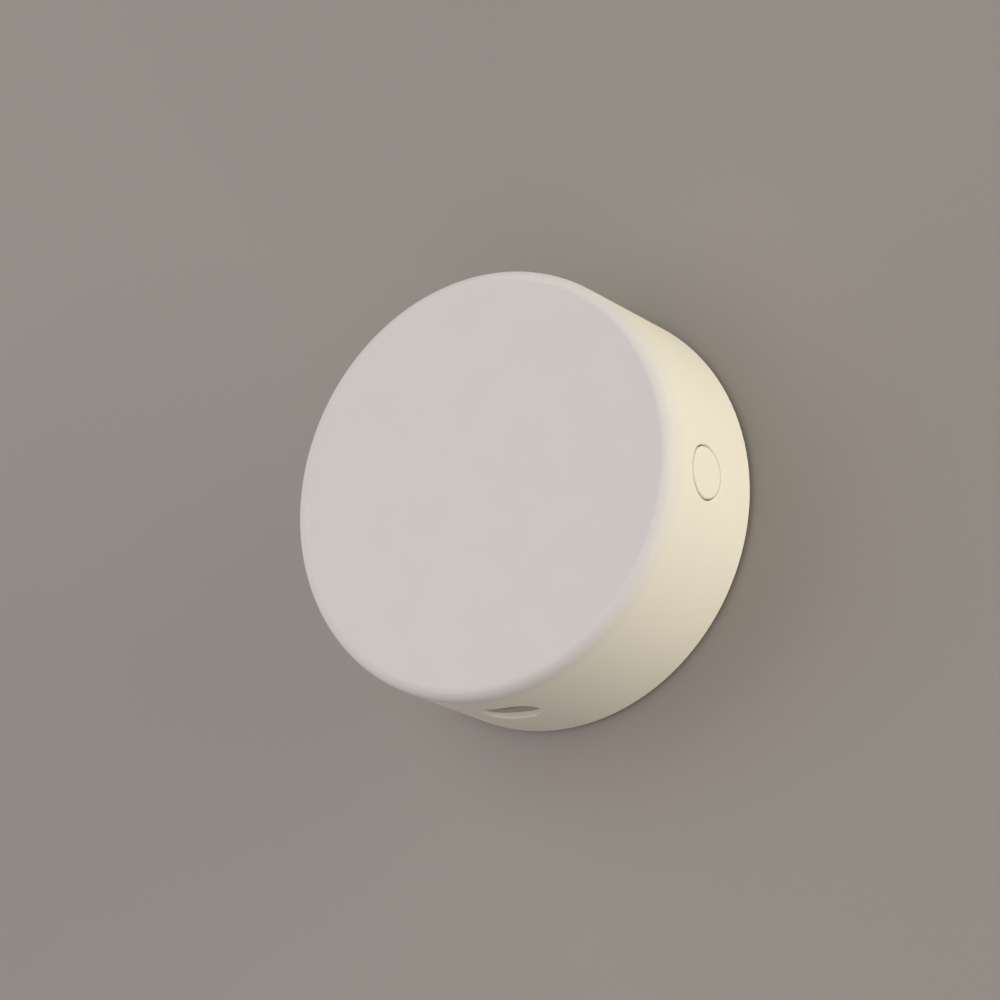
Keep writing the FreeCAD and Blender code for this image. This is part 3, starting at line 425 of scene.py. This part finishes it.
def lens_epoxy(name, color):
    """The cast epoxy of a light or light sensor."""
    made, tree, shader, place = new_material(name)
    milky = spread(tree, noise(tree, place, 0.3 * MM))
    tone = mixed(tree, milky, shade(color), shade(color, 0.85))
    rough = spread(tree, noise(tree, place, 0.2 * MM), 0.12, 0.25)
    feed(tree, shader, {"Base Color": tone, "Roughness": rough})
    depths = (0.4 * MM, 0.3 * MM, 0.2 * MM)
    feed(tree, shader, {"Subsurface Weight": 0.2, "Subsurface Radius": depths})
    bumps(tree, shader, [(noise(tree, place, 0.15 * MM), 0.003 * MM)])
    return made


def floor_paint(name, color):
    """A plain pale surface, nearly without sheen."""
    made, tree, shader, place = new_material(name)
    clouds = spread(tree, noise(tree, place, 160 * MM))
    tone = mixed(tree, clouds, shade(color, 0.97), shade(color, 1.02))
    rough = spread(tree, noise(tree, place, 20 * MM), 0.86, 0.92)
    feed(tree, shader, {"Base Color": tone, "Roughness": rough, "Specular IOR Level": 0.2})
    bumps(tree, shader, [(noise(tree, place, 0.6 * MM, detail=4.0), 0.01 * MM)])
    return made


# Pieces in mesh code


def new_piece(name, form, finish, slot, *stands_for):
    """Turns a mesh in the making into a smooth piece on the drum, in place of CAD nodes."""
    bmesh.ops.recalc_face_normals(form, faces=form.faces)
    mesh = bpy.data.meshes.new(name)
    form.to_mesh(mesh)
    form.free()
    mesh.materials.append(finish)
    mesh.shade_smooth()
    mesh.set_sharp_from_angle(angle=SHARP_ANGLE)
    piece = bpy.data.objects.new(name, mesh)
    bpy.context.scene.collection.objects.link(piece)
    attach(piece, "drum")
    if stands_for:
        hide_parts(*stands_for)


def skin(form, loops, ring=False):
    """Joins loops of equally many points by faces, and in a ring the last to the first as well."""
    rows = [[form.verts.new(point) for point in loop] for loop in loops]
    pairs = list(zip(rows, rows[1:]))
    if ring:
        pairs.append((rows[-1], rows[0]))
    else:
        form.faces.new(rows[0])
        form.faces.new(rows[-1])
    for first, second in pairs:
        for index in range(len(first)):
            after = (index + 1) % len(first)
            form.faces.new((first[index], first[after], second[after], second[index]))


def rounded(corners, steps=4):
    """A closed outline with an arc at each corner, which is an X, a Y and a radius."""
    outline = []
    for index, (x, y, radius) in enumerate(corners):
        here = Vector((x, y))
        before = (Vector(corners[index - 1][:2]) - here).normalized()
        after = (Vector(corners[(index + 1) % len(corners)][:2]) - here).normalized()
        half = before.angle(after) / 2
        middle = here + (before + after).normalized() * radius / math.sin(half)
        first = here + before * radius / math.tan(half) - middle
        turn = first.angle_signed(here + after * radius / math.tan(half) - middle)
        for step in range(steps + 1):
            outline.append(middle + Matrix.Rotation(-turn * step / steps, 2) @ first)
    return outline


def rounded_box(width, height, corner, inset=0.0, steps=8):
    """The outline of a rectangle with round corners about the origin, drawn in by inset."""
    across = width / 2 - inset
    along = height / 2 - inset
    spots = [(-across, -along), (across, -along), (across, along), (-across, along)]
    return rounded([(x, y, corner - inset) for x, y in spots], steps)


def quarter_arc(radius):
    """Points round an edge, each as its distances in from the side and back from the front."""
    turns = [math.radians(degrees) for degrees in ARC_DEGREES]
    return [(radius * (1 - math.cos(turn)), radius * (1 - math.sin(turn))) for turn in turns]


def turned(form, outline):
    """Turns a closed outline of radii and heights about the drum's axis."""
    loops = []
    for step in range(TURN_STEPS):
        turn = 2 * math.pi * step / TURN_STEPS
        loops.append([(r * math.cos(turn), r * math.sin(turn), z) for r, z in outline])
    skin(form, loops, ring=True)


def pad_ring(finish):
    """The rear pad with soft edges and grooves for grip in the face that it rests on."""
    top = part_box("rear_pad")[1].z
    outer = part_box("rear_pad")[1].x
    half = GROOVE_WIDTH / 2
    corners = [(PAD_INNER, top, PAD_COVER_EDGE), (PAD_INNER, 0.0, PAD_REST_EDGE)]
    for index in range(GROOVES):
        middle = GROOVE_FIRST + index * GROOVE_PITCH
        corners.append((middle - half, 0.0, GROOVE_EDGE))
        corners.append((middle - half / 2, GROOVE_DEPTH, GROOVE_CORNER))
        corners.append((middle + half / 2, GROOVE_DEPTH, GROOVE_CORNER))
        corners.append((middle + half, 0.0, GROOVE_EDGE))
    corners.append((outer, 0.0, PAD_REST_EDGE))
    corners.append((outer, top, PAD_COVER_EDGE))
    form = bmesh.new()
    turned(form, rounded(corners))
    new_piece("pad_ring", form, finish, "pad", "rear_pad")


def rolled(form, outer, inner, edge, front, back, middle_z):
    """A sleeve along Y between two outlines, its front edge rounded on both sides."""
    arc = [(inset, front + setback) for inset, setback in quarter_arc(edge)]
    sections = [(outer, 0.0, back)]
    sections += [(outer, inset, y) for inset, y in arc]
    sections += [(inner, -inset, y) for inset, y in reversed(arc)]
    sections.append((inner, 0.0, back))
    loops = []
    for outline, inset, y in sections:
        loops.append([(x, y, middle_z + z) for x, z in rounded_box(*outline, inset)])
    skin(form, loops, ring=True)


def soft_block(form, x, y, z, length, width, height):
    """A small block about X and Y that stands on Z, its corners and its top edge rounded."""
    edge = BLOCK_EDGE * min(length, width, height)
    levels = [(0.0, z)]
    levels += [(inset, z + height - setback) for inset, setback in quarter_arc(edge)]
    loops = []
    for inset, level in levels:
        outline = rounded_box(length, width, 2 * edge, inset, steps=2)
        loops.append([(x + a, y + b, level) for a, b in outline])
    skin(form, loops)


def port_shade_frame(finish):
    """The frame round the port's mouth, with soft edges. Its grey is painted shade in the recess.
    """
    low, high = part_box("port_frame")
    form = bmesh.new()
    outer = (high.x - low.x, high.z - low.z, FRAME_CORNER)
    rolled(form, outer, FRAME_HOLE, FRAME_EDGE, low.y, high.y, (low.z + high.z) / 2)
    new_piece("port_shade_frame", form, finish, "frame", "port_frame")


def usb_can(finish):
    """The port's drawn metal can with its rolled mouth, and its four legs."""
    low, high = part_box("usb_shell")
    form = bmesh.new()
    width, height, corner = USB_OUTSIDE
    inner = (width - 2 * USB_SHEET, height - 2 * USB_SHEET, corner - USB_SHEET)
    rolled(form, USB_OUTSIDE, inner, USB_LIP, low.y, high.y, high.z - height / 2)
    quarter = (high.y - low.y) / 4
    top = high.z - height + corner
    for across in (low.x + USB_SHEET / 2, high.x - USB_SHEET / 2):
        for along in (high.y - quarter - USB_LEG / 2, low.y + quarter + USB_LEG / 2):
            soft_block(form, across, along, low.z, USB_SHEET, USB_LEG, top - low.z)
    new_piece("usb_can", form, finish, "steel", "usb_shell")


def chip_pads(finish):
    """The soldered edge pads on the four sides of each chip."""
    form = bmesh.new()
    for name in CHIPS:
        low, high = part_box(name)
        middle = (low + high) / 2
        reach = (high.x - low.x) / 2
        count = int((2 * reach - LEAD_PITCH) / LEAD_PITCH)
        for index in range(count):
            step = (index - (count - 1) / 2) * LEAD_PITCH
            for side in (-reach, reach):
                spot = (middle.x + side, middle.y + step, low.z)
                soft_block(form, *spot, LEAD_LENGTH, LEAD_WIDTH, LEAD_HEIGHT)
                spot = (middle.x + step, middle.y + side, low.z)
                soft_block(form, *spot, LEAD_WIDTH, LEAD_LENGTH, LEAD_HEIGHT)
    new_piece("chip_pads", form, finish, "steel")


def end_caps(finish):
    """The tinned ends of the capacitors and resistors."""
    form = bmesh.new()
    for name, count in PASSIVES.items():
        low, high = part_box(name)
        pitch = (high.x - low.x - PASSIVE_WIDTH) / (count - 1)
        height = high.z - low.z + CAP_SKIN
        for index in range(count):
            x = low.x + PASSIVE_WIDTH / 2 + index * pitch
            for y in (low.y + END_CAP / 2 - CAP_SKIN, high.y - END_CAP / 2 + CAP_SKIN):
                soft_block(form, x, y, low.z, PASSIVE_WIDTH + 2 * CAP_SKIN, END_CAP, height)
    new_piece("end_caps", form, finish, "steel")


def edge_pads(finish):
    """The gilded pads along the long sides of the radio board."""
    low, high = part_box("radio_board")
    count = int((high.y - low.y) / EDGE_PAD_PITCH) - 1
    inset = EDGE_PAD / 2 - EDGE_PAD_PROUD
    height = high.z - low.z + EDGE_PAD_PROUD
    form = bmesh.new()
    for index in range(count):
        y = (low.y + high.y) / 2 + (index - (count - 1) / 2) * EDGE_PAD_PITCH
        for x in (low.x + inset, high.x - inset):
            soft_block(form, x, y, low.z, EDGE_PAD, EDGE_PAD, height)
    new_piece("edge_pads", form, finish, "contact")


def dress_nodes():
    """Gives every CAD node its finish, and adds the metal pieces that are made here."""
    shell = moulded("shell_plastic", FACE_WHITE, roughness=0.8, recolor=face_to_side)
    # The button's cream is partly painted warm light, like the side's.
    cap = moulded("button_plastic", SIDE_CREAM_AND_WARM_LIGHT, roughness=0.8)
    cover = moulded("cover_plastic", COVER_WHITE, roughness=0.5, spark=0.22 * MM, depth=0.01 * MM)
    screw = metal("screw_zinc", STEEL, roughness=0.32)
    nylon = moulded("nylon", NYLON, roughness=0.38)
    sheet = metal("stamped_steel", STEEL, roughness=0.28, squeeze=(1.0, 6.0, 1.0))
    tin = metal("tin_plate", TIN, roughness=0.34)
    gold = metal("gold_plate", GOLD, roughness=0.24)
    chip = packaged("chip_epoxy", EPOXY_BLACK, roughness=0.55)
    black = packaged("black_plastic", PLASTIC_BLACK, roughness=0.45)
    green = circuit_board("green_mask", BOARD_GREEN)
    blue = circuit_board("blue_mask", BOARD_BLUE)
    tan = packaged("tan_ceramic", CERAMIC_TAN, roughness=0.4)
    resistor = packaged("resistor_glaze", RESISTOR_BLACK, roughness=0.35)
    clear = clear_plastic("clear_acrylic", CLEAR)
    lens = lens_epoxy("lens_epoxy", LED_YELLOW)
    finishes = {
        shell: ["front_shell"],
        cap: ["pair_button"],
        cover: ["rear_cover"],
        screw: ["cover_screws", "board_screws"],
        nylon: ["switch_plunger", "radar_spacers", "radar_screws"],
        sheet: ["switch_bracket", "switch_dome", "crystal", "radio_shield"],
        gold: ["usb_contacts", "radar_antennas", "header_pins", "radio_antenna"],
        chip: ["radar_chip", "controller_chip", "inductor", "regulator", "radio_chip"],
        black: ["switch_housing", "usb_tongue", "header_socket", "header_body"],
        green: ["main_board"],
        blue: ["radar_board", "radio_board"],
        tan: ["capacitors"],
        resistor: ["resistors"],
        clear: ["light_guide"],
        lens: ["status_led", "light_sensor"],
    }
    for finish, names in finishes.items():
        for name in names:
            nodes[name].material_slots[0].material = finish
    usb_can(metal("can_nickel", DULL_NICKEL, roughness=0.55))
    chip_pads(tin)
    end_caps(tin)
    edge_pads(gold)


# Stage


def floor():
    """A square sheet that the pad rests on."""
    mesh = bpy.data.meshes.new("floor")
    signs = [(-1, -1), (1, -1), (1, 1), (-1, 1)]
    corners = [(x * FLOOR_HALF, y * FLOOR_HALF, FLOOR_Z) for x, y in signs]
    mesh.from_pydata(corners, [], [(0, 1, 2, 3)])
    mesh.materials.append(floor_paint("floor_paint", FLOOR_GREY))
    made = bpy.data.objects.new("floor", mesh)
    bpy.context.scene.collection.objects.link(made)


def lamp(name, color, level, size, distance, direction):
    """A soft box that faces the object from a direction, an azimuth and an elevation in degrees.

    level is how bright it makes a white surface.
    """
    data = bpy.data.lights.new(name, "AREA")
    data.shape = "RECTANGLE"
    data.size, data.size_y = size
    data.energy = level * (math.pi * distance) ** 2
    data.color = color
    made = bpy.data.objects.new(name, data)
    bpy.context.scene.collection.objects.link(made)
    turn, tilt = (math.radians(degrees) for degrees in direction)
    flat = math.cos(tilt)
    towards = Vector((math.cos(turn) * flat, math.sin(turn) * flat, math.sin(tilt)))
    made.location = towards * distance + Vector((0.0, 0.0, FRONT_Z / 2))
    made.rotation_mode = "QUATERNION"
    made.rotation_quaternion = towards.to_track_quat("Z", "Y")


def lights():
    """A low key lamp at the button, a broad fill lamp over the face, a weak one at the port."""
    lamp("key_lamp", KEY_CREAM, level=0.87, size=(1.3, 0.14), distance=1.2, direction=(12, 6))
    lamp("fill_lamp", FILL_WHITE, level=0.70, size=(1.9, 1.9), distance=1.4, direction=(160, 46))
    lamp("low_lamp", LOW_PINK, level=0.21, size=(1.2, 1.2), distance=1.4, direction=(-75, 62))


def world():
    made = bpy.data.worlds.new("studio")
    made.use_nodes = True
    tree = made.node_tree
    inputs = {"Color": shade(WORLD_WHITE), "Strength": WORLD_STRENGTH}
    feed(tree, tree.nodes["Background"], inputs)
    bpy.context.scene.world = made


def camera():
    data = bpy.data.cameras.new("camera")
    data.lens = CAMERA_LENS
    data.sensor_width = CAMERA_SENSOR
    data.clip_start = CAMERA_NEAR
    data.clip_end = CAMERA_FAR
    made = bpy.data.objects.new("camera", data)
    bpy.context.scene.collection.objects.link(made)
    turn = Matrix((CAMERA_RIGHT, CAMERA_UP, CAMERA_BACK)).transposed()
    made.matrix_world = Matrix.Translation(CAMERA_PLACE) @ turn.to_4x4()
    bpy.context.scene.camera = made


bpy.context.scene.view_settings.view_transform = "Standard"
camera()
world()
lights()
floor()
dress_nodes()
pad_ring(rubber("pad_rubber", PAD_GREY))
# The port frame's grey is painted shade in the recess.
port_shade_frame(rubber("frame_painted_shade", FRAME_SHADE_GREY))
